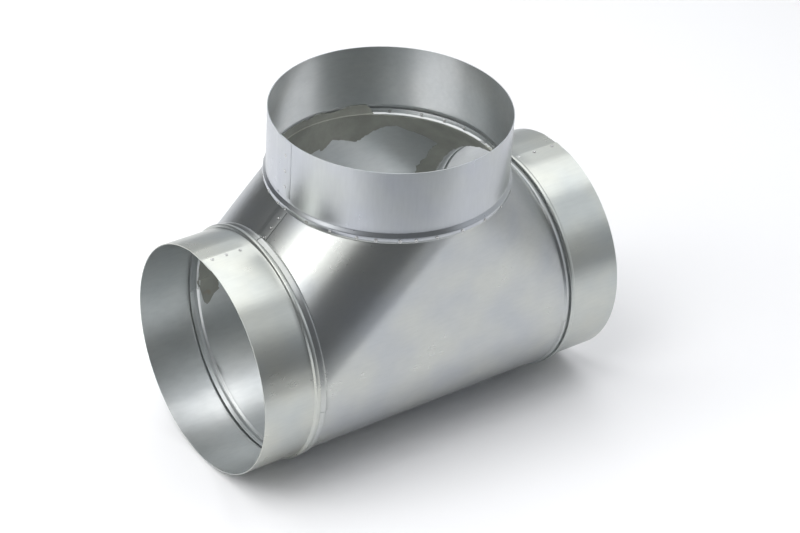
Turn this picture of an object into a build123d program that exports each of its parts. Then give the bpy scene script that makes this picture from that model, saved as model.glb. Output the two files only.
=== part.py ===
from build123d import *

import os
from math import ceil, cos, degrees, radians, sin, sqrt

# Round sheet metal duct tee, rolled and spot welded from galvanised strip.
# Lengths are in millimetres. The run lies along X, with a male collar at each end,
# and the branch stands up along Z and ends in a socket collar. The origin is on the
# floor, straight below the point where the run's axis meets the branch's axis.

# Sheet and laps
sheet = 0.7
lap_gap = 0.1
edge_gap = 0.3

# Ends that meet other ducts
run_collar_radius = 99.5
branch_bore_radius = 100.25
run_rim_reach = 179.0
branch_rim_reach = 187.0

# Body: an oblique round body that runs at 45 degrees from each run end up to the branch
trough_radius = 99.5
body_reach = 121.0
skirt_drop = 9.0
crotch_cover = 4.0
crotch_margin = 5.0
joggle_run = 2.5
strip_angle = 4.5

# Swaged joint between the body and each collar
crown_rise = 2.4
run_lip = 4.5
branch_lip = 3.0
crown_width = 3.6
flare_width = 3.2
cuff_cover = 2.3

# Lap seam of each collar, as angles round its own axis
seam_step = 0.6
run_seam_angle = 90.8
run_seam_cover = 7.0
run_seam_slope = 12.0
branch_seam_angle = 184.0
branch_seam_cover = 11.0
branch_seam_slope = 12.0

# Mastic brushed over the inside of each sloping throat
mastic = 0.4
mastic_gap = 0.05
mastic_half_angle = 52.0
mastic_setback = 1.0
mastic_strip_angle = 6.0

# Sizes that follow from those above
shell_inner = trough_radius + lap_gap
shell_outer = shell_inner + sheet
branch_collar_radius = branch_bore_radius + sheet
axis_height = run_collar_radius + crown_rise
branch_joint_height = axis_height + body_reach
run_axis = Axis((0, 0, axis_height), (1, 0, 0))
slope_length = sqrt(2) * body_reach + shell_outer
skirt_angle = degrees(skirt_drop / shell_inner)
edge_angle = degrees(edge_gap / shell_inner)


def cross_plane(x):
    """The plane across the run at x, where 90 degrees is up and 180 is the front."""
    return Plane(origin=(x, 0, axis_height), x_dir=(0, 1, 0), z_dir=(1, 0, 0))


def run_profile_plane(side, angle):
    """A plane through the run's axis: x is the reach out to that side, y is the radius."""
    across = Vector(0, cos(radians(angle)), sin(radians(angle)))
    outward = Vector(side, 0, 0)
    return Plane(origin=(0, 0, axis_height), x_dir=outward, z_dir=outward.cross(across))


def branch_profile_plane(angle):
    """A plane through the branch's axis: x is the reach up, y is the radius."""
    across = Vector(cos(radians(angle)), sin(radians(angle)), 0)
    upward = Vector(0, 0, 1)
    return Plane(origin=(0, 0, axis_height), x_dir=upward, z_dir=upward.cross(across))


def polar(radius, angle):
    """A point in a sketch, given by its radius and its angle in degrees."""
    return (radius * cos(radians(angle)), radius * sin(radians(angle)))


def ring_sector(inner, outer, start, end):
    """A flat sector of a ring about the sketch's origin."""
    with BuildLine() as outline:
        outer_arc = CenterArc((0, 0), outer, start, end - start)
        inner_arc = CenterArc((0, 0), inner, start, end - start)
        Line(outer_arc @ 0, inner_arc @ 0)
        Line(outer_arc @ 1, inner_arc @ 1)
    make_face(outline.edges())


def rolled_strips(plane, inner, outer, start, end, width=strip_angle):
    """The ring sectors that an oblique wall is cut into, one beside the other."""
    count = ceil((end - start) / width)
    turn = (end - start) / count
    sectors = []
    for strip in range(count):
        with BuildSketch(plane) as sector:
            ring_sector(inner, outer, start + strip * turn, start + (strip + 1) * turn)
        sectors.append(sector.sketch.face())
    return sectors


def sloping_throats(inner, outer, start, end):
    """Both oblique ends of the body, rolled in strips that run up at 45 degrees."""
    for side in (-1, 1):
        strips = rolled_strips(cross_plane(side * body_reach), inner, outer, start, end)
        extrude(strips, amount=slope_length, dir=(-side, 0, 1), clean=False)


def cuff_profile(root_inner, cuff_outer, length):
    """The section of a body end: a short cuff, flared out until the collar's crown grips it."""
    with BuildLine() as outline:
        Polyline(
            (body_reach, root_inner),
            (body_reach + length, cuff_outer - sheet),
            (body_reach + length, cuff_outer),
            (body_reach, root_inner + sheet),
            close=True,
        )
    make_face(outline.edges())


def run_cuffs(root_inner, start, end):
    """The cuffs of one body sheet, at both ends of the run, between two angles."""
    outer = run_collar_radius + crown_rise - sheet - lap_gap
    for side in (-1, 1):
        with BuildSketch(run_profile_plane(side, start)) as cuff:
            cuff_profile(root_inner, outer, run_lip + cuff_cover)
        revolve(cuff.sketch, axis=run_axis, revolution_arc=end - start, clean=False)


def branch_cuff(start, end):
    """The cuff of one upper shell under the branch collar, between two angles."""
    outer = branch_collar_radius + crown_rise - sheet - lap_gap
    with BuildSketch(branch_profile_plane(start)) as cuff:
        cuff_profile(shell_inner, outer, branch_lip + cuff_cover)
    revolve(cuff.sketch, axis=Axis.Z, revolution_arc=end - start, clean=False)


def side_panel(side):
    """The flat triangle of an upper shell, and the skirt below it that laps the trough."""
    with BuildSketch(Plane.XZ.offset(-side * shell_inner)) as triangle:
        with BuildLine() as outline:
            Polyline(
                (-body_reach, axis_height),
                (body_reach, axis_height),
                (0, branch_joint_height),
                close=True,
            )
        make_face(outline.edges())
    extrude(triangle.sketch, amount=-side * sheet, clean=False)
    first = 180 if side < 0 else -skirt_angle
    with BuildSketch(cross_plane(-body_reach)) as skirt:
        ring_sector(shell_inner, shell_outer, first, first + skirt_angle)
    extrude(skirt.sketch, amount=2 * body_reach, clean=False)


def bell_profile(radius, lip):
    """The section of a collar's inner end: it flares over the cuff and ends in a crown."""
    crown = radius + crown_rise
    crown_start = body_reach + lip
    shoulder_start = crown_start + crown_width
    flare_start = shoulder_start + flare_width
    with BuildLine() as outline:
        Polyline(
            (crown_start, crown),
            (shoulder_start, crown),
            (flare_start, radius),
            (flare_start, radius - sheet),
            (shoulder_start, crown - sheet),
            (crown_start, crown - sheet),
            close=True,
        )
    make_face(outline.edges())


# Left and right run collars: one strip each, rolled with an inward lap on top
run_tube_start = body_reach + run_lip + crown_width + flare_width
run_collars = {}
for name, side in (("run_collar_left", -1), ("run_collar_right", 1)):
    inner = run_collar_radius - sheet
    seam = run_seam_angle
    middle = seam - run_seam_slope / 2
    with BuildPart() as run_collar:
        with BuildSketch(cross_plane(side * run_tube_start)):
            with BuildLine():
                wall = CenterArc((0, 0), run_collar_radius, seam, 360 - run_seam_slope)
                sunk = polar(run_collar_radius - seam_step, seam)
                ThreePointArc(wall @ 1, polar(run_collar_radius - seam_step / 2, middle), sunk)
                Line(sunk, wall @ 0)
            make_face()
            with BuildLine():
                bore = CenterArc((0, 0), inner, seam + run_seam_cover, 360 - run_seam_slope - run_seam_cover)
                tuck = CenterArc((0, 0), inner - seam_step, seam, run_seam_cover)
                ThreePointArc(bore @ 1, polar(inner - seam_step / 2, middle), tuck @ 0)
                Line(tuck @ 1, bore @ 0)
            make_face(mode=Mode.SUBTRACT)
        extrude(amount=side * (run_rim_reach - run_tube_start))
        with BuildSketch(run_profile_plane(side, 0)) as bell:
            bell_profile(run_collar_radius, run_lip)
        revolve(bell.sketch, axis=run_axis, clean=False)
    run_collar.part.label = name
    run_collars[name] = run_collar

# Branch collar: a socket, so its lap goes outwards and its bore stays round
branch_tube_start = body_reach + branch_lip + crown_width + flare_width
with BuildPart() as branch_collar:
    with BuildSketch(Plane.XY.offset(axis_height + branch_tube_start)):
        seam = branch_seam_angle
        middle = seam - branch_seam_cover - branch_seam_slope / 2
        with BuildLine():
            flap = CenterArc((0, 0), branch_collar_radius + seam_step, seam, -branch_seam_cover)
            wall = CenterArc((0, 0), branch_collar_radius, seam, 360 - branch_seam_cover - branch_seam_slope)
            Line(flap @ 0, wall @ 0)
            ThreePointArc(wall @ 1, polar(branch_collar_radius + seam_step / 2, middle), flap @ 1)
        make_face()
        Circle(branch_bore_radius, mode=Mode.SUBTRACT)
    extrude(amount=branch_rim_reach - branch_tube_start)
    with BuildSketch(branch_profile_plane(0)) as bell:
        bell_profile(branch_collar_radius, branch_lip)
    revolve(bell.sketch, axis=Axis.Z, clean=False)
branch_collar.part.label = "branch_collar"

# Lower half of the body: a half round trough whose long edges tuck under the shells
with BuildPart() as lower_trough:
    with BuildSketch(cross_plane(-body_reach)):
        ring_sector(trough_radius - sheet, trough_radius, 180, 360)
    extrude(amount=2 * body_reach)
    run_cuffs(trough_radius - sheet, 180 + skirt_angle + edge_angle, 360 - skirt_angle - edge_angle)
lower_trough.part.label = "lower_trough"

# Front upper shell: two oblique throats and a flat triangle, bent from one sheet
margin_angle = degrees(crotch_margin / shell_inner)
with BuildPart() as front_shell:
    sloping_throats(shell_inner, shell_outer, 90 - margin_angle, 180)
    split(bisect_by=Plane.XY.offset(branch_joint_height), keep=Keep.BOTTOM)
    side_panel(-1)
    run_cuffs(shell_inner, 90 + edge_angle / 2, 180 + skirt_angle)
    branch_cuff(180 + edge_angle / 2, 360 - edge_angle / 2)
front_shell.part.label = "front_shell"

# Rear upper shell: the same sheet turned round, stepped up to lap over the front one
cover_angle = degrees(crotch_cover / shell_inner)
joggle_angle = degrees(joggle_run / shell_inner)
rear_start = 90 - margin_angle - edge_angle
with BuildPart() as rear_shell:
    sloping_throats(shell_inner, shell_outer, 0, rear_start)
    sloping_throats(shell_inner, shell_outer + lap_gap + sheet, rear_start - joggle_angle, rear_start)
    sloping_throats(shell_outer + lap_gap, shell_outer + lap_gap + sheet, rear_start, 90 + cover_angle)
    split(bisect_by=Plane.XY.offset(branch_joint_height), keep=Keep.BOTTOM)
    side_panel(1)
    run_cuffs(shell_inner, -skirt_angle, 90 - edge_angle / 2)
    branch_cuff(edge_angle / 2, 180 - edge_angle / 2)
rear_shell.part.label = "rear_shell"

# Mastic: a thin brushed skin inside each sloping throat, over the crotch lap
mastic_outer = shell_inner - mastic_gap
mastic_skins = {}
for name, side in (("throat_mastic_left", -1), ("throat_mastic_right", 1)):
    with BuildPart() as throat_mastic:
        end_plane = cross_plane(side * body_reach)
        first = 90 - mastic_half_angle
        last = 90 + mastic_half_angle
        strips = rolled_strips(end_plane, mastic_outer - mastic, mastic_outer, first, last, mastic_strip_angle)
        extrude(strips, amount=slope_length, dir=(-side, 0, 1), clean=False)
        split(bisect_by=Plane.XY.offset(branch_joint_height - mastic_setback), keep=Keep.BOTTOM)
        setback_plane = Plane(origin=(side * (body_reach - mastic_setback), 0, 0), z_dir=(side, 0, 0))
        split(bisect_by=setback_plane, keep=Keep.BOTTOM)
    throat_mastic.part.label = name
    mastic_skins[name] = throat_mastic

pieces = [lower_trough, front_shell, rear_shell, branch_collar, *run_collars.values(), *mastic_skins.values()]
os.makedirs("parts", exist_ok=True)
for piece in pieces:
    export_step(piece.part, f"parts/{piece.part.label}.step")
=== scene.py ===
from math import atan2, cos, degrees, radians, sin

import bmesh
import bpy
from mathutils import Matrix, Vector, noise as wander


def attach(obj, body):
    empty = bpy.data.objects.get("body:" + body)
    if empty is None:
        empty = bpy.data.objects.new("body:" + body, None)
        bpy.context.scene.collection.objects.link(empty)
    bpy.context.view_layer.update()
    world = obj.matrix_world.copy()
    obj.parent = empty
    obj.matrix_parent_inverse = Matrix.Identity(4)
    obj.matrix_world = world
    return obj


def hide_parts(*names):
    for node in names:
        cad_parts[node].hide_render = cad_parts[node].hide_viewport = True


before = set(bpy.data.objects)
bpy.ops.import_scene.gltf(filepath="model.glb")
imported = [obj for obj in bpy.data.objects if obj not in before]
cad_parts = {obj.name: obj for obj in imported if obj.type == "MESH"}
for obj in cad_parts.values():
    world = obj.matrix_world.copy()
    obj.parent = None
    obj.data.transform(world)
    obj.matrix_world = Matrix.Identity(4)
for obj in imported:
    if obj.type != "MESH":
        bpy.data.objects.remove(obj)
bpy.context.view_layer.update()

# Left run collar: a strip of galvanised sheet, rolled round with its front end lapped over
# its rear end on top and spot welded. Its inner end is swaged into a bell, a steep flare
# with a flat crown, that grips the cuffs of the body.
sheet = 0.0007
axis_height = 0.1019
branch_joint_height = 0.2229
collar_middle = 0.09915
bell_rise = 0.0024
rim_reach = 0.179
flare_reach = 0.1323
crown_reach = 0.1311
lip_reach = 0.1279
flare_bend = 0.0006
crown_bend = 0.0006
bend_margin = 0.0001
past_rim = 0.001
run_seam = 90.8
run_seam_cover = 8
flat_end = 10
flat_fade = 0.008
pressed_edge = 0.8
curl_in = 0.0005
curl_bend = curl_in * 0.8
seam_step = 0.0008
column_angle = 2
run_center = (0, 0, axis_height)
run_axis = (1, 0, 0)


def new_sheet(name, place):
    """Start a sheet as one point, in edit mode."""
    bpy.ops.object.select_all(action="DESELECT")
    bpy.ops.mesh.primitive_plane_add(size=sheet)
    piece = bpy.context.object
    piece.name = name
    bpy.ops.object.mode_set(mode="EDIT")
    bpy.ops.mesh.merge(type="CENTER")
    bpy.ops.transform.translate(value=place)
    return piece


def pick(piece, test):
    """Select the vertices whose place passes the test, with what lies between them."""
    bpy.ops.mesh.select_all(action="DESELECT")
    mesh = bmesh.from_edit_mesh(piece.data)
    for vert in mesh.verts:
        vert.select = test(vert.co)
    mesh.select_flush_mode()
    bmesh.update_edit_mesh(piece.data)


def draw(points):
    """Draw a section from its first point through the others."""
    for start, end in zip(points, points[1:]):
        bpy.ops.mesh.extrude_region_move(TRANSFORM_OT_translate={"value": end - start})


def round_bend(piece, place, run_off, segments=4):
    """Round the corner of a drawn section."""
    pick(piece, lambda spot: (spot - place).length < 1e-5)
    bpy.ops.mesh.bevel(affect="VERTICES", offset=run_off, segments=segments)


def divide(piece, start, end, cuts):
    """Divide the straight part of a section that lies between two places."""
    middle = (start + end) / 2
    reach = (end - start).length / 2
    pick(piece, lambda spot: (spot - middle).length < reach)
    bpy.ops.mesh.subdivide(number_cuts=cuts)


def roll(angle, steps, center=run_center, axis=run_axis):
    """Roll what is selected round an axis, right handed."""
    bpy.ops.mesh.spin(steps=steps, angle=-radians(angle), center=center, axis=axis)


def run_place(reach, radius, angle):
    """The point at a reach along the run, and a radius and an angle about its axis."""
    turn = radians(angle)
    return Vector((reach, radius * cos(turn), axis_height + radius * sin(turn)))


def run_angle(spot):
    return degrees(atan2(spot.z - axis_height, spot.y)) % 360


def flat_dip(radius, angle):
    """How far a flat end of a strip lies inside its circle, at an angle from the strip's end."""
    half = radians(flat_end / 2)
    return radius * (cos(half) / cos(radians(angle) - half) - 1)


def roll_strip(piece, axis, place, angle_of, wall_height, start, radius, rise, cover):
    """Roll a drawn section into a collar. Its wall laps itself, and both ends stay flat."""
    bpy.ops.mesh.select_all(action="SELECT")
    dip = lift = angle = 0
    while angle < 360 + cover - 0.1:
        if angle == flat_end:
            plain = 360 - 2 * flat_end
            roll(plain, plain // column_angle, run_center, axis)
            angle += plain
        roll(column_angle, 1, run_center, axis)
        angle += column_angle
        dip_before, lift_before = dip, lift
        if angle <= flat_end:
            dip = flat_dip(radius, angle)
        elif angle <= 360:
            dip = flat_dip(radius, angle - 360 + flat_end)
            lift = rise * (angle - 360 + flat_end) / flat_end
        else:
            dip = flat_dip(radius, angle - 360)
            if angle >= 360 + cover:
                lift = rise * (1 - pressed_edge)
        outward = place(0, 1, start + angle) - place(0, 0, start + angle)
        mesh = bmesh.from_edit_mesh(piece.data)
        for vert in mesh.verts:
            height = wall_height(vert.co)
            if vert.select and height < 0:
                vert.select = False
            elif vert.select:
                fade = min(height / flat_fade, 1)
                vert.co += outward * ((dip - dip_before) * fade + lift - lift_before)
        mesh.select_flush_mode()
        bmesh.update_edit_mesh(piece.data)
        if angle < 360:
            pick(piece, lambda spot: abs(angle_of(spot) - (start + angle) % 360) < 0.5)
    bpy.ops.mesh.select_all(action="SELECT")
    bpy.ops.mesh.remove_doubles(threshold=0.00005)


def face_out(piece):
    """Turn every face of a sheet away from the passage inside it."""
    for face in piece.data.polygons:
        spot = face.center.copy()
        if spot.z > branch_joint_height:
            spot.z = 0
        else:
            spot -= Vector((spot.x, 0, axis_height))
        if face.normal.dot(spot) < 0:
            face.flip()
    piece.data.update()


def finish_sheet(piece, node, finishes, wave=0.0004, wave_size=0.08, thick=sheet):
    """Give a sheet its slight unevenness, its thickness and its finish."""
    bpy.ops.object.mode_set(mode="OBJECT")
    bpy.context.view_layer.objects.active = piece
    face_out(piece)
    cloud = bpy.data.textures.new(piece.name + "_unevenness", "CLOUDS")
    cloud.noise_scale = wave_size
    uneven = piece.modifiers.new("unevenness", "DISPLACE")
    uneven.texture = cloud
    uneven.strength = wave
    uneven.mid_level = 0.5
    bpy.ops.object.modifier_apply(modifier=uneven.name)
    piece.data.materials.clear()
    for finish in finishes:
        piece.data.materials.append(finish)
    wall = piece.modifiers.new("wall", "SOLIDIFY")
    wall.thickness = thick
    wall.offset = 0
    wall.material_offset = len(finishes) - 1
    bpy.ops.object.modifier_apply(modifier=wall.name)
    bpy.ops.object.shade_smooth_by_angle(angle=radians(38))
    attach(piece, "root")
    if node:
        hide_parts(node)


class Socket:
    """A socket in a material, so that shader maths can be written as sums."""

    def __init__(self, tree, output=None):
        self.tree = tree
        self.output = output

    def node(self, kind, inputs, output=0, stops=None, **settings):
        """Add a node, set it, and feed its sockets with numbers, colours or links."""
        made = self.tree.nodes.new(kind)
        for name, value in settings.items():
            setattr(made, name, value)
        if stops:
            ramp = made.color_ramp
            for element, (position, shade) in zip([ramp.elements[0], ramp.elements[1]], stops):
                element.position = position
                element.color = (shade, shade, shade, 1)
            for position, shade in stops[2:]:
                ramp.elements.new(position).color = (shade, shade, shade, 1)
        for name, value in inputs.items():
            if isinstance(value, Socket):
                self.tree.links.new(value.output, made.inputs[name])
            else:
                made.inputs[name].default_value = value
        return Socket(self.tree, made.outputs[output])

    def maths(self, operation, first, second):
        return self.node("ShaderNodeMath", {0: first, 1: second}, operation=operation)

    def __add__(self, other):
        return self.maths("ADD", self, other)

    def __sub__(self, other):
        return self.maths("SUBTRACT", self, other)

    def __rsub__(self, other):
        return self.maths("SUBTRACT", other, self)

    def __mul__(self, other):
        return self.maths("MULTIPLY", self, other)

    __radd__ = __add__
    __rmul__ = __mul__


def new_material(name, **constants):
    """A material with one Principled shader, and the sockets that its pattern starts from."""
    material = bpy.data.materials.new(name)
    material.use_nodes = True
    tree = material.node_tree
    shader = tree.nodes["Principled BSDF"]
    for socket, value in constants.items():
        shader.inputs[socket.replace("_", " ")].default_value = value
    start = Socket(tree)
    place = start.node("ShaderNodeTexCoord", {}, output="Object")
    return material, shader, place


def feed(shader, socket, value):
    value.tree.links.new(value.output, shader.inputs[socket])


def mix(first, second, share):
    """Mix two colours by a share."""
    source = share if isinstance(share, Socket) else first
    return source.node(
        "ShaderNodeMix",
        {"Factor": share, 6: first, 7: second},
        output=2,
        data_type="RGBA",
    )


def ramp(value, low, high):
    """Zero below one value, one above another."""
    return value.node("ShaderNodeValToRGB", {"Fac": value}, stops=((low, 0), (high, 1)))


def noise(vector, scale, detail=3, roughness=0.55):
    return vector.node(
        "ShaderNodeTexNoise",
        {"Vector": vector, "Scale": scale, "Detail": detail, "Roughness": roughness},
    )


def stretch(vector, scales):
    return vector.node("ShaderNodeVectorMath", {0: vector, 1: scales}, operation="MULTIPLY")


def galvanised(name, warm, cool, grain_scale, shine=0.28, metal=1.0):
    """Zinc coated sheet: cloudy and satin, with faint rolling lines."""
    material, shader, place = new_material(name, Metallic=metal)
    cloud = ramp(noise(place, 21, 2, 0.45), 0.34, 0.66)
    mottle = noise(place, 95)
    grain = noise(stretch(place, grain_scale), 1)
    tone = mix(warm, cool, cloud)
    shade = 0.05 + (mottle - 0.5) * 0.14 + (grain - 0.5) * 0.26
    feed(shader, "Base Color", mix(tone, (0.27, 0.29, 0.30, 1), shade))
    satin = shine + cloud * 0.03 + (mottle - 0.5) * 0.04 + (grain - 0.5) * 0.04
    feed(shader, "Roughness", satin)
    height = mottle * 0.5 + grain * 0.5
    bump = place.node(
        "ShaderNodeBump", {"Strength": 0.012, "Distance": 0.0004, "Height": height}
    )
    feed(shader, "Normal", bump)
    return material


collar_steel = galvanised(
    "galvanised_run_collars", (0.555, 0.565, 0.518, 1), (0.490, 0.518, 0.510, 1), (60, 500, 500)
)
# The inside faces get a lighter, partly diffuse copy of the same galvanised finish: painted light
# that brightens the inside of the tee.
lightened_inside_steel = galvanised(
    "galvanised_inside_lightened", (0.645, 0.660, 0.655, 1), (0.605, 0.630, 0.635, 1), (90, 300, 300),
    shine=0.31, metal=0.93,
)


def height_on_run_wall(spot):
    return abs(spot.x) - (flare_reach + flare_bend + bend_margin)


bell_middle = collar_middle + bell_rise
section = [
    run_place(-rim_reach, collar_middle, run_seam),
    run_place(-flare_reach, collar_middle, run_seam),
    run_place(-crown_reach, bell_middle, run_seam),
    run_place(-lip_reach - curl_in, bell_middle, run_seam),
    run_place(-lip_reach, bell_middle - curl_in, run_seam),
]
left_collar = new_sheet("left_run_collar", section[0])
draw(section)
round_bend(left_collar, section[1], flare_bend)
round_bend(left_collar, section[2], crown_bend)
round_bend(left_collar, section[3], curl_bend)
wall_end = section[1] - Vector((flare_bend - bend_margin, 0, 0))
divide(left_collar, section[0] - Vector((past_rim, 0, 0)), wall_end, 13)
roll_strip(
    left_collar, run_axis, run_place, run_angle, height_on_run_wall,
    run_seam, collar_middle, -seam_step, run_seam_cover,
)

# Right run collar: the same strip, turned round for the other end of the run, so its
# front end laps over its rear end too.
bpy.ops.object.mode_set(mode="OBJECT")
right_collar = left_collar.copy()
right_collar.data = left_collar.data.copy()
right_collar.name = "right_run_collar"
bpy.context.collection.objects.link(right_collar)
right_collar.data.transform(Matrix.Scale(-1, 4, Vector((1, 0, 0))))
finish_sheet(left_collar, "run_collar_left", (collar_steel, lightened_inside_steel))
finish_sheet(right_collar, "run_collar_right", (collar_steel, lightened_inside_steel))

# Branch collar: a slightly larger strip, rolled with its lap outside so that its bore
# takes the male end of the next fitting. The lap faces left, and the bell sits on the cuffs
# of both upper shells.
branch_middle = 0.1006
branch_axis = (0, 0, 1)
branch_rim_height = 0.2889
branch_flare_height = 0.2327
branch_crown_height = 0.2295
branch_lip_height = 0.2259
branch_seam_start = 174
branch_seam_cover = 10


def branch_place(height, radius, angle):
    turn = radians(angle)
    return Vector((radius * cos(turn), radius * sin(turn), height))


def branch_angle(spot):
    return degrees(atan2(spot.y, spot.x)) % 360


def height_on_branch_wall(spot):
    return spot.z - (branch_flare_height + flare_bend + bend_margin)


branch_bell_middle = branch_middle + bell_rise
section = [
    branch_place(branch_rim_height, branch_middle, branch_seam_start),
    branch_place(branch_flare_height, branch_middle, branch_seam_start),
    branch_place(branch_crown_height, branch_bell_middle, branch_seam_start),
    branch_place(branch_lip_height + curl_in, branch_bell_middle, branch_seam_start),
    branch_place(branch_lip_height, branch_bell_middle - curl_in, branch_seam_start),
]
branch_collar = new_sheet("branch_socket_collar", section[0])
draw(section)
round_bend(branch_collar, section[1], flare_bend)
round_bend(branch_collar, section[2], crown_bend)
round_bend(branch_collar, section[3], curl_bend)
wall_end = section[1] + Vector((0, 0, flare_bend - bend_margin))
divide(branch_collar, section[0] + Vector((0, 0, past_rim)), wall_end, 15)
roll_strip(
    branch_collar, branch_axis, branch_place, branch_angle, height_on_branch_wall,
    branch_seam_start, branch_middle, seam_step, branch_seam_cover,
)
branch_steel = galvanised(
    "galvanised_branch_collar", (0.480, 0.500, 0.535, 1), (0.510, 0.530, 0.530, 1), (500, 500, 60)
)
finish_sheet(branch_collar, "branch_collar", (branch_steel, lightened_inside_steel))

# Lower trough: the lower half of the body, one half round sheet. Its long edges tuck up
# inside the skirts of the upper shells, and a short cuff at each end fills the collars' bells.
body_reach = 0.121
trough_middle = 0.09915
run_cuff = ((0.1225, 0.1010), (0.1249, 0.1006), (0.1262, 0.0997), (0.1300, 0.0997))
cuff_bend = 0.0004
skirt_angle = 5.18
edge_angle = 0.17
half_section = [(-reach, radius) for reach, radius in reversed(run_cuff)]
half_section += [(-body_reach, trough_middle), (body_reach, trough_middle)]
half_section += run_cuff
trough_start = 180 + skirt_angle + edge_angle
trough_end = 360 - skirt_angle - edge_angle
section = [run_place(reach, radius, trough_start) for reach, radius in half_section]
trough = new_sheet("body_trough", section[0])
draw(section)
for corner in section[1:-1]:
    round_bend(trough, corner, cuff_bend, 3)
divide(trough, section[len(run_cuff)], section[len(run_cuff) + 1], 59)
bpy.ops.mesh.select_all(action="SELECT")
roll(trough_end - trough_start, 84)
for edge, tuck in ((trough_end, 360 - trough_end), (trough_start, 180 - trough_start)):
    pick(trough, lambda spot: abs(run_angle(spot) - edge) < 0.1 and abs(spot.x) < body_reach)
    roll(tuck, 3)
body_steel = galvanised(
    "galvanised_body", (0.515, 0.528, 0.505, 1), (0.460, 0.480, 0.495, 1), (90, 400, 400)
)
finish_sheet(trough, "lower_trough", (body_steel, lightened_inside_steel))

# Front upper shell: one sheet, bent so that each end is an oblique round throat at 45 degrees
# and the middle a flat triangle, with a skirt that laps the trough and cuffs at all three ends.
shell_middle = 0.09995
run_bend = ((0.12225, 0.10083), (0.12252, 0.10096), (0.12280, 0.10095))
branch_bend = ((0.22375, 0.10134), (0.22393, 0.10151), (0.22419, 0.10153))
branch_cuff = ((0.2255, 0.1012), (0.2282, 0.1012))
crotch_margin_angle = 2.88
skirt_limit = 5.3
ruling_parts = 30
slope = Vector((1, 0, 1)).normalized()


def slope_throat(piece):
    """Draw the rolled edge up at 45 degrees to the branch joint, and divide its rulings."""
    bpy.ops.mesh.select_all(action="SELECT")
    rise = branch_joint_height - axis_height + 0.001
    bpy.ops.mesh.extrude_region_move(TRANSFORM_OT_translate={"value": (rise, 0, rise)})
    bpy.ops.mesh.select_all(action="SELECT")
    bpy.ops.mesh.bisect(
        plane_co=(0, 0, branch_joint_height), plane_no=(0, 0, 1), clear_outer=True
    )
    bpy.ops.mesh.select_all(action="DESELECT")
    mesh = bmesh.from_edit_mesh(piece.data)
    for edge in mesh.edges:
        run = edge.verts[1].co - edge.verts[0].co
        edge.select = abs(run.normalized().dot(slope)) > 0.9999
    bmesh.update_edit_mesh(piece.data)
    bpy.ops.mesh.subdivide(number_cuts=ruling_parts - 1)


def mirror_throat():
    bpy.ops.mesh.select_all(action="SELECT")
    bpy.ops.mesh.duplicate()
    bpy.ops.transform.resize(value=(-1, 1, 1), center_override=(0, 0, 0))


def close_side(piece, side):
    """Fill the flat triangle between the throats, and roll the skirt below it."""
    part = body_reach / ruling_parts
    flat = side * shell_middle
    pick(piece, lambda spot: (spot - Vector((-body_reach, flat, axis_height))).length < 1e-5)
    bpy.ops.mesh.extrude_region_move(TRANSFORM_OT_translate={"value": (2 * body_reach, 0, 0)})
    pick(piece, lambda spot: abs(spot.z - axis_height) < 1e-5 and abs(spot.y - flat) < 1e-5)
    bpy.ops.mesh.subdivide(number_cuts=2 * ruling_parts - 1)
    pick(piece, lambda spot: abs(spot.z - axis_height) < 1e-5 and abs(spot.y - flat) < 1e-5)
    for row in range(ruling_parts):
        bpy.ops.mesh.extrude_region_move(TRANSFORM_OT_translate={"value": (0, 0, part)})
    for out in (-1, 1):
        pick(piece, lambda spot: abs(spot.y - flat) < 1e-6 and spot.z > axis_height - 1e-5)
        bpy.ops.mesh.bisect(
            plane_co=(0, 0, branch_joint_height), plane_no=(out, 0, 1), clear_outer=True
        )
    pick(piece, lambda spot: abs(spot.z - axis_height) < 1e-5 and abs(spot.y - flat) < 1e-5)
    roll(-side * skirt_angle, 4)
    bpy.ops.mesh.select_all(action="SELECT")
    bpy.ops.mesh.remove_doubles(threshold=0.00002)


def set_radius(piece, center, radius):
    """Open or close the selected ring about a point on its axis."""
    mesh = bmesh.from_edit_mesh(piece.data)
    for vert in mesh.verts:
        if vert.select:
            vert.co = center + (vert.co - center).normalized() * radius
    bmesh.update_edit_mesh(piece.data)


def swage_cuffs(piece, first, last, rear):
    """Draw out the cuffs of an upper shell: one under each run collar, one under the branch's."""
    for side in (-1, 1):
        pick(
            piece,
            lambda spot: abs(spot.x - side * body_reach) < 1e-5
            and first < (run_angle(spot) + 90) % 360 - 90 < last,
        )
        reach_before = body_reach
        for reach, radius in run_bend + run_cuff[1:]:
            step = side * (reach - reach_before)
            bpy.ops.mesh.extrude_region_move(TRANSFORM_OT_translate={"value": (step, 0, 0)})
            set_radius(piece, Vector((side * reach, 0, axis_height)), radius)
            reach_before = reach
    pick(
        piece,
        lambda spot: abs(spot.z - branch_joint_height) < 1e-5
        and (spot.y > 0.0001 if rear else spot.y < -0.0001),
    )
    height_before = branch_joint_height
    for height, radius in branch_bend + branch_cuff:
        step = height - height_before
        bpy.ops.mesh.extrude_region_move(TRANSFORM_OT_translate={"value": (0, 0, step)})
        set_radius(piece, Vector((0, 0, height)), radius)
        height_before = height


front_start = 90 - crotch_margin_angle
front_shell = new_sheet("front_upper_shell", run_place(-body_reach, shell_middle, front_start))
roll(180 - front_start, 62)
slope_throat(front_shell)
mirror_throat()
close_side(front_shell, -1)
swage_cuffs(front_shell, 90.05, 180 + skirt_limit, False)
finish_sheet(front_shell, "front_shell", (body_steel, lightened_inside_steel))

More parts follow.
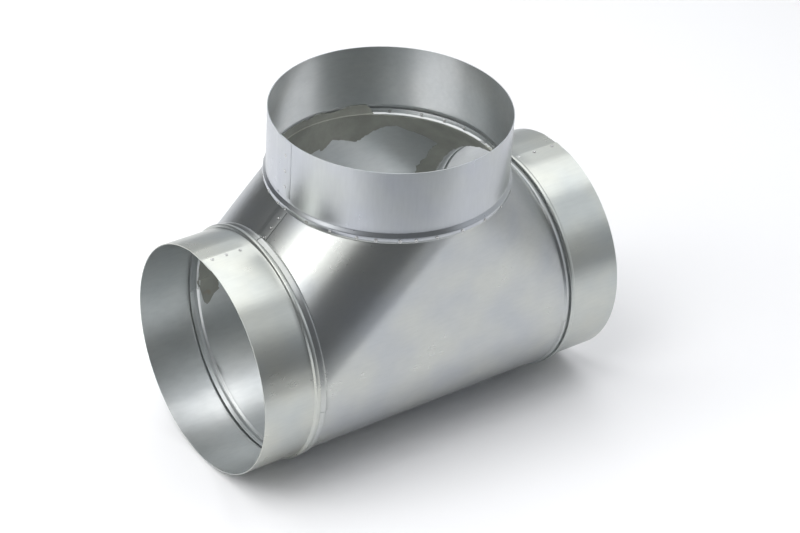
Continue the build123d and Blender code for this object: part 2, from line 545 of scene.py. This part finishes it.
# Rear upper shell: the same sheet turned round. Along both crotches it is stepped up by its
# own thickness into a strap that laps over the front shell and is spot welded to it.
joggle_start = 85.5
joggle_end = 86.95
strap_end = 92.3
strap_pressed = 0.2
rear_shell = new_sheet("rear_upper_shell", run_place(-body_reach, shell_middle, 0))
roll(joggle_start, 57)
joggle_steps = 3
for step in range(joggle_steps):
    roll((joggle_end - joggle_start) / joggle_steps, 1)
    angle = joggle_start + (step + 1) * (joggle_end - joggle_start) / joggle_steps
    outward = run_place(0, 1, angle) - run_place(0, 0, angle)
    bpy.ops.transform.translate(value=outward * seam_step / joggle_steps)
roll(strap_end - joggle_end, 4)
outward = run_place(0, 1, strap_end) - run_place(0, 0, strap_end)
bpy.ops.transform.translate(value=outward * -seam_step * strap_pressed)
slope_throat(rear_shell)
mirror_throat()
close_side(rear_shell, 1)
swage_cuffs(rear_shell, -skirt_limit, 90, True)
finish_sheet(rear_shell, "rear_shell", (body_steel, lightened_inside_steel))

# Throat mastic: olive grey duct mastic, brushed on from inside over the crotch laps and in a
# band along each joint. It dried thin, with ragged edges and a few runs.
mastic_thick = 0.0004
throat_inside = 0.0993
trough_inside = 0.0985
flat_columns = 14
trough_columns = 16
coat_columns = 180 + 2 * (flat_columns + trough_columns)
run_rows, band_rows, wall_rows = 7, 9, 6
coat_rows = run_rows + 1 + band_rows + wall_rows
over_run_joint = ((0.121, 0.0993), (0.1224, 0.1002), (0.1262, 0.0990), (0.130, 0.0990),
                  (0.1325, 0.0984), (0.150, 0.0984))
over_branch_joint = ((0, 0.0993), (0.0012, 0.1010), (0.0026, 0.1005), (0.0053, 0.1005),
                     (0.0066, 0.1004), (0.0098, 0.0999), (0.020, 0.0999))
band_depth = {
    1: ((-14, 28), (-11, 26), (-5.6, 21.6), (-0.8, 24.8), (2.6, 29.7), (6.6, 28.9), (10.4, 26),
        (17.3, 21.8), (26, 17.7), (32, 16.6), (34.9, 22), (38.5, 27), (41, 34), (43, 70)),
    -1: ((-14, 28), (-8, 29.5), (0, 28.5), (8, 33), (16, 38), (22, 41), (27, 50), (30, 90)),
}
run_band_edge = ((-14, 102), (0, 101), (12, 102.5), (20, 103), (27, 106), (37.5, 107), (90, 109))
run_band_end = {
    1: ((-14, 122), (10, 122), (90, 123)),
    -1: ((-14, 121.5), (30, 121.5), (60, 122.5), (90, 121.5)),
}
run_band_foot = ((97, 6.5), (100, 7.4), (108.6, 11.5), (112, 14), (115.8, 14.7), (118.5, 12),
                 (120.6, 3.5), (150, 3))
band_height = {
    1: ((0, 8.6), (6.5, 5.8), (11, 7.5), (16, 8.3), (24, 9.8), (26, 5), (28, -1), (45, -2.5),
        (58, -1.5), (75, -2), (90, -1)),
    -1: ((0, 8.6), (10, 6.6), (24, 6.5), (34, 6.3), (36, 0.6), (60, 0.5), (90, 0.5)),
}
bare_lip = (-1, 32)
lip_foot = 0.0005
lip_top = 0.0062


def along(pairs, place):
    """Read a value off a list of places and values."""
    for (start, first), (end, last) in zip(pairs, pairs[1:]):
        if place <= end:
            share = max(place - start, 0) / (end - start)
            return first + share * (last - first)
    return pairs[-1][1]


def ragged(place, line, most):
    """A brushed edge's wandering, in millimetres."""
    slow = wander.noise(Vector((place / 7, line * 3.7, 0.3)))
    quick = wander.noise(Vector((place / 2.3, line * 5.1, 8.3)))
    sharp = wander.noise(Vector((place / 1.1, line * 2.9, 4.1)))
    return most * (slow + 0.6 * quick + 0.4 * sharp)


def coat_place(side, column, row):
    """The place of one point of the coat, by its column round the throat and its row down it."""
    rear = 1 if column <= 90 else -1
    turn = column if rear > 0 else 180 - column
    edge_kind = side if rear > 0 else -side
    line = 2 * side + rear
    flat = min(max(1 + turn / flat_columns, 0), 1)
    angle = radians(max(turn, 0))
    inner = (along(run_band_edge, turn) + ragged(turn, line, 2.2)) / 1000
    if row <= run_rows:
        around = max(turn, 0) + min(turn + flat_columns, 0)
        outer = (along(run_band_end[edge_kind], around) + ragged(around, line + 9, 1.6)) / 1000
        reach = outer + (inner - outer) * row / run_rows
        rise = max(body_reach - reach, 0)
        radius = throat_inside
        if reach > body_reach:
            radius = along(over_run_joint, reach)
        if turn < 2 - flat_columns and reach <= body_reach:
            radius = trough_inside
        if turn < -flat_columns:
            foot = along(run_band_foot, reach * 1000) + ragged(reach * 1000, line, 0.8)
            angle = -radians(foot * (-flat_columns - turn) / trough_columns)
            rise = 0
        rise *= flat
        return Vector((
            side * reach, rear * radius * cos(angle), axis_height + radius * sin(angle) + rise
        ))
    whole = branch_joint_height - axis_height - throat_inside * sin(angle)
    top = (along(band_height[edge_kind], max(turn, 0)) + ragged(turn, line + 5, 1.8)) / 1000
    row -= run_rows + 1
    if row <= band_rows or top <= lip_foot:
        deep = (along(band_depth[edge_kind], turn) + ragged(turn, line + 4, 2.2)) / 1000
        deep = min(deep, whole - (body_reach - inner))
        shallow = min(max(-top, 0), deep)
        depth = shallow + (deep - shallow) * max(1 - row / band_rows, 0)
        reach = throat_inside * sin(angle) + depth * flat
        return Vector((
            side * reach, rear * throat_inside * cos(angle), branch_joint_height - depth
        ))
    row -= band_rows
    height = min(top, lip_foot)
    if row > 1:
        low = min(top, lip_top)
        height = low + (top - low) * (row - 2) / (wall_rows - 2)
    radius = along(over_branch_joint, height)
    return Vector((
        side * radius * sin(angle), rear * radius * cos(angle), branch_joint_height + height
    ))


def mastic_skin(name, side, node):
    """Brush one throat: a grid laid on the throat, its bare middle cut away."""
    bpy.ops.object.select_all(action="DESELECT")
    bpy.ops.mesh.primitive_grid_add(
        x_subdivisions=coat_columns, y_subdivisions=coat_rows, size=1, location=(0, 0, 0)
    )
    skin = bpy.context.object
    skin.name = name
    bpy.ops.object.mode_set(mode="EDIT")
    bpy.ops.mesh.select_all(action="DESELECT")
    mesh = bmesh.from_edit_mesh(skin.data)
    for face in mesh.faces:
        middle = face.calc_center_median()
        column = (middle.x + 0.5) * coat_columns - flat_columns - trough_columns
        row = (middle.y + 0.5) * coat_rows
        beyond_flat = column < -flat_columns or column > 180 + flat_columns
        beyond_wall = row > run_rows + 1 + band_rows and not 0 < column < 180
        turn = column if side < 0 else 180 - column
        lip = run_rows + 2 + band_rows < row + 0.5 < run_rows + 3 + band_rows
        bare = lip and bare_lip[0] < turn < bare_lip[1]
        gap = run_rows < row < run_rows + 1
        face.select = bare or gap or beyond_wall or (beyond_flat and row > run_rows)
    bmesh.update_edit_mesh(skin.data)
    bpy.ops.mesh.delete(type="FACE")
    mesh = bmesh.from_edit_mesh(skin.data)
    for vert in mesh.verts:
        column = round((vert.co.x + 0.5) * coat_columns) - flat_columns - trough_columns
        row = round((vert.co.y + 0.5) * coat_rows)
        vert.co = coat_place(side, column, row)
    bmesh.update_edit_mesh(skin.data)
    bpy.ops.mesh.select_all(action="SELECT")
    bpy.ops.mesh.remove_doubles(threshold=0.00008)
    bpy.ops.mesh.dissolve_degenerate(threshold=0.00005)
    finish_sheet(skin, node, (dried_mastic,), 0.0002, 0.02, mastic_thick)


dried_mastic, shader, place = new_material("dried_mastic")
patches = noise(place, 45, 5, 0.6)
strokes = noise(place, 240, 3, 0.6)
olive = mix((0.330, 0.340, 0.303, 1), (0.262, 0.270, 0.240, 1), ramp(patches, 0.35, 0.65))
rusty = ramp(noise(place, 30, 3, 0.7), 0.68, 0.76)
feed(shader, "Base Color", mix(olive, (0.26, 0.20, 0.13, 1), rusty * 0.6))
feed(shader, "Roughness", 0.5 + patches * 0.3)
feed(
    shader,
    "Normal",
    place.node("ShaderNodeBump", {"Strength": 0.3, "Distance": 0.0005, "Height": strokes}),
)
mastic_skin("left_throat_mastic", -1, "throat_mastic_left")
mastic_skin("right_throat_mastic", 1, "throat_mastic_right")

# Spot welds: each is a small dimple with a raised rim, pressed through two sheets by the
# electrodes. They hold the collars' laps, both crotch laps, and the branch bell on its cuffs.
weld_radius = 0.0015
weld_rise = 0.0003


def press_welds(name, material, spots):
    """Press a row of spot welds, given as their places and the way that each faces."""
    bpy.ops.object.select_all(action="DESELECT")
    bpy.ops.mesh.primitive_cylinder_add(vertices=14, radius=weld_radius, depth=2 * weld_rise)
    first = bpy.context.object
    first.name = name
    bpy.ops.object.mode_set(mode="EDIT")
    bpy.ops.mesh.select_all(action="DESELECT")
    mesh = bmesh.from_edit_mesh(first.data)
    for face in mesh.faces:
        face.select = face.normal.z > 0.9
    bmesh.update_edit_mesh(first.data)
    bpy.ops.mesh.inset(thickness=weld_radius * 0.25, depth=weld_rise * 0.2)
    bpy.ops.mesh.inset(thickness=weld_radius * 0.15)
    bpy.ops.mesh.inset(thickness=weld_radius * 0.25, depth=-weld_rise * 0.6)
    bpy.ops.object.mode_set(mode="OBJECT")
    bpy.ops.object.shade_smooth_by_angle(angle=radians(80))
    welds = [first]
    for spot in spots[1:]:
        weld = first.copy()
        weld.data = first.data.copy()
        bpy.context.collection.objects.link(weld)
        welds.append(weld)
    for weld, (spot, outward) in zip(welds, spots):
        turned = outward.to_track_quat("Z", "Y").to_matrix().to_4x4()
        weld.data.transform(Matrix.Translation(spot) @ turned)
        weld.select_set(True)
    bpy.context.view_layer.objects.active = first
    bpy.ops.object.join()
    first.data.materials.clear()
    first.data.materials.append(material)
    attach(first, "root")


weld_steel, shader, place = new_material("weld_steel", Metallic=1.0)
burnt = ramp(noise(place, 420, 2, 0.5), 0.4, 0.6)
feed(shader, "Base Color", mix((0.60, 0.61, 0.60, 1), (0.36, 0.36, 0.35, 1), burnt))
feed(shader, "Roughness", 0.2 + burnt * 0.12)

lap_weld_angle = run_seam + 1.5
lap_weld_radius = 0.0992
branch_lap_weld_angle = 180
branch_lap_weld_radius = 0.10115
lap_welds = []
for reach in (-0.145, -0.158, -0.171, 0.136, 0.1525, 0.172):
    lap_weld = run_place(reach, lap_weld_radius, lap_weld_angle)
    lap_welds.append((lap_weld, lap_weld - run_place(reach, 0, 0)))
for height in (0.2455, 0.2600, 0.2745):
    lap_weld = branch_place(height, branch_lap_weld_radius, branch_lap_weld_angle)
    lap_welds.append((lap_weld, lap_weld - branch_place(height, 0, 0)))
press_welds("collar_lap_welds", weld_steel, lap_welds)

crotch_welds = []
for side in (-1, 1):
    for reach in (0.1205, 0.1136, 0.1066):
        middle = shell_middle + seam_step + body_reach - reach
        face = Vector((side, 0, 1)).normalized()
        crotch_weld = Vector((side * reach, -0.0012, axis_height + middle)) + face * 0.0003
        crotch_welds.append((crotch_weld, face))
press_welds("crotch_lap_welds", weld_steel, crotch_welds)

joint_weld_angles = (
    15, 26.5, 38.5, 54.3, 71.1, 84.2, 98, 111, 126, 139, 152, 166, 176.7, 182.6,
    196.5, 209, 221.7, 230.3, 241, 248.2, 258, 271, 285, 299, 312, 326, 340, 353.6,
)
outer_weld_height = 0.2272
inner_weld_height = 0.2258
joint_welds = []
for angle in joint_weld_angles:
    outside = branch_place(outer_weld_height, branch_bell_middle + 0.0003, angle)
    inside = branch_place(inner_weld_height, branch_cuff[0][1] - 0.0004, angle)
    joint_welds.append((outside, outside - branch_place(outer_weld_height, 0, 0)))
    joint_welds.append((inside, branch_place(inner_weld_height, 0, 0) - inside))
press_welds("branch_joint_welds", weld_steel, joint_welds)

# Floor: a plain pale studio floor, larger than any view shows.
bpy.ops.object.select_all(action="DESELECT")
bpy.ops.mesh.primitive_plane_add(size=14, location=(0, 0, -0.0003))
floor = bpy.context.object
floor.name = "studio_floor"
floor_paint, shader, place = new_material("pale_floor", Roughness=0.9)
shader.inputs["Base Color"].default_value = (0.86, 0.86, 0.87, 1)
floor.data.materials.append(floor_paint)

# Lights: one large soft box overhead, a small one to each side, and a fill that lights the
# floor without showing in the metal. The surround is dim, with a lighter wall to the right.
world = bpy.data.worlds.new("studio")
bpy.context.scene.world = world
world.use_nodes = True
background = world.node_tree.nodes["Background"]
background.inputs["Color"].default_value = (0.93, 0.96, 1.0, 1)
way = Socket(world.node_tree).node("ShaderNodeTexCoord", {}, output="Generated")
right_wall = Vector((0.969, 0.136, 0.208))
facing = way.node(
    "ShaderNodeVectorMath", {0: way, 1: right_wall}, output="Value", operation="DOT_PRODUCT"
)
feed(background, "Strength", 0.16 + 0.50 * ramp(facing, 0.34, 0.54))


def soft_box(name, place, aim, width, depth, power):
    light = bpy.data.lights.new(name, "AREA")
    light.shape = "RECTANGLE"
    light.size = width
    light.size_y = depth
    light.energy = power
    lamp = bpy.data.objects.new(name, light)
    bpy.context.collection.objects.link(lamp)
    lamp.location = place
    lamp.rotation_euler = (Vector(aim) - Vector(place)).to_track_quat("-Z", "Y").to_euler()
    return lamp


overhead = soft_box("overhead_soft_box", (-0.55, 0.41, 1.7), (-0.55, 0.41, 0), 3.9, 2.22, 38)
overhead.rotation_euler.z += radians(10)
soft_box("left_soft_box", (-1.87, 0.26, 1.5), (0, 0, 0.15), 1.1, 0.8, 6)
soft_box("right_soft_box", (1.15, -1.15, 1.55), (0, 0, 0.15), 1.0, 1.0, 1.9)
fill = soft_box("floor_fill", (-1.9, -0.2, 2.4), (0, 0, 0), 2.6, 2.6, 56)
fill.visible_glossy = False

# Dark card: lies flat on the camera's side, out of the picture, so that the metal has
# something darker than the floor to reflect there. No view shows it.
bpy.ops.object.select_all(action="DESELECT")
bpy.ops.mesh.primitive_plane_add(size=1, location=(0, 0, 0))
card = bpy.context.object
card.name = "dark_card"
bpy.ops.object.mode_set(mode="EDIT")
bpy.ops.transform.resize(value=(1.0, 2.2, 1))
bpy.ops.transform.translate(value=(0, -1.52, 0.002))
bpy.ops.object.mode_set(mode="OBJECT")
card.data.transform(Matrix.Rotation(radians(-18), 4, "Z"))
card_paint, shader, place = new_material("grey_card", Roughness=0.95)
shader.inputs["Base Color"].default_value = (0.36, 0.37, 0.39, 1)
card.data.materials.append(card_paint)
card.visible_camera = False
card.visible_diffuse = False
card.visible_shadow = False

# Camera: a long lens from the front left, looking down into the branch.
camera_place = Vector((-1.0251, -1.3969, 1.3148))
view_line = Vector((0.4945, 0.6618, -0.5634)).normalized()
picture_right = Vector((0.8200, -0.5702, 0.0501)).normalized()
picture_up = picture_right.cross(view_line)
camera_data = bpy.data.cameras.new("camera")
camera_data.lens = 111.28
camera_data.sensor_width = 36
camera_data.clip_start = 0.05
camera = bpy.data.objects.new("camera", camera_data)
bpy.context.collection.objects.link(camera)
turned = Matrix((picture_right, picture_up, -view_line)).transposed().to_4x4()
camera.matrix_world = Matrix.Translation(camera_place) @ turned
bpy.context.scene.camera = camera
bpy.context.scene.view_settings.view_transform = "Standard"
